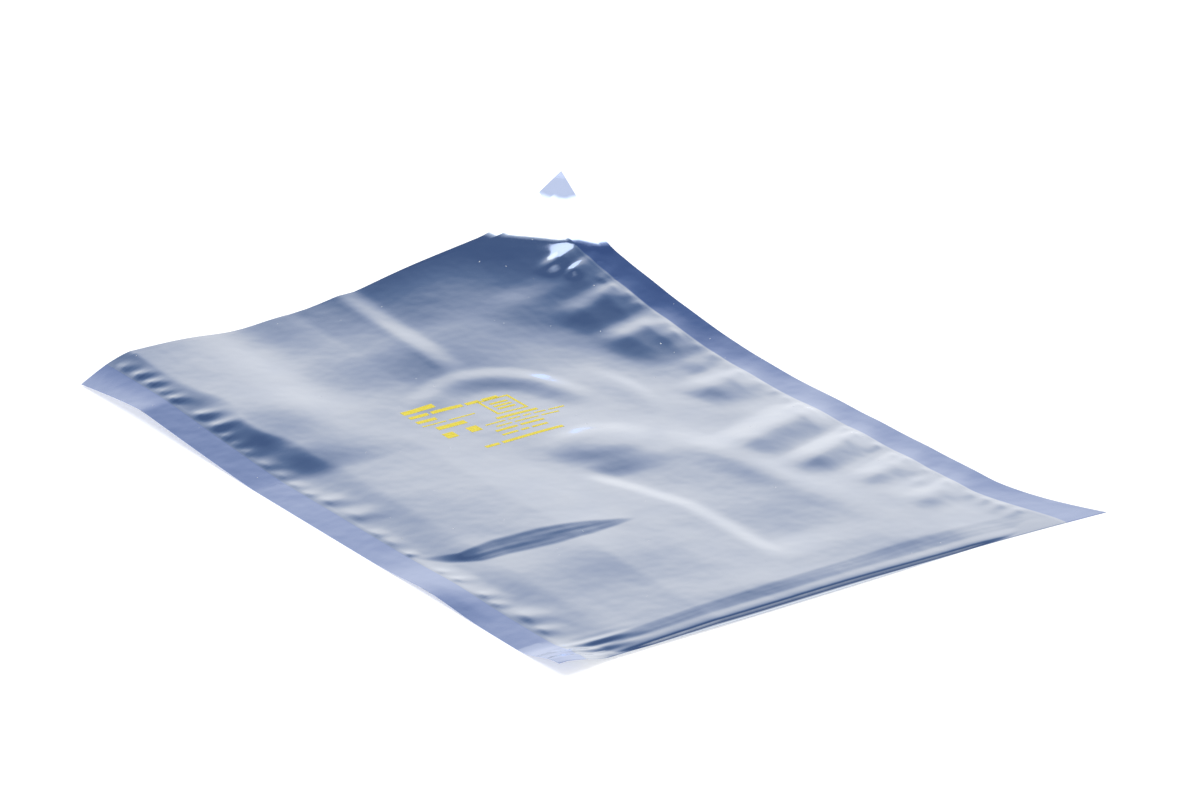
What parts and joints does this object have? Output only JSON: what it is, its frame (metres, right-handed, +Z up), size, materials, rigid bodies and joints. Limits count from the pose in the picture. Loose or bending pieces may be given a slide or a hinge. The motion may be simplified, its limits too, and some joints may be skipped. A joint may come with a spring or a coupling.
{
  "type": "static shielding bag",
  "caption": "Flat metallised film bag for circuit boards, folded at the bottom, welded up both sides, open at the mouth, lying empty with one curled corner.",
  "frame": {"origin": "on the resting surface, under the middle of the bag's outline", "axes": "+Y from the bottom fold towards the open mouth, +X across the bag towards the curled corner, +Z up"},
  "size_m": [0.272, 0.3594, 0.0474],
  "materials": {
    "metallised_film": "thin polyester film with an aluminium layer: a dull lavender-silver mirror with fine scuffs, a yellow printed panel in the middle of the upper wall"
  },
  "bodies": {
    "root": {"shielding_bag": "metallised_film"}
  },
  "joints": []
}
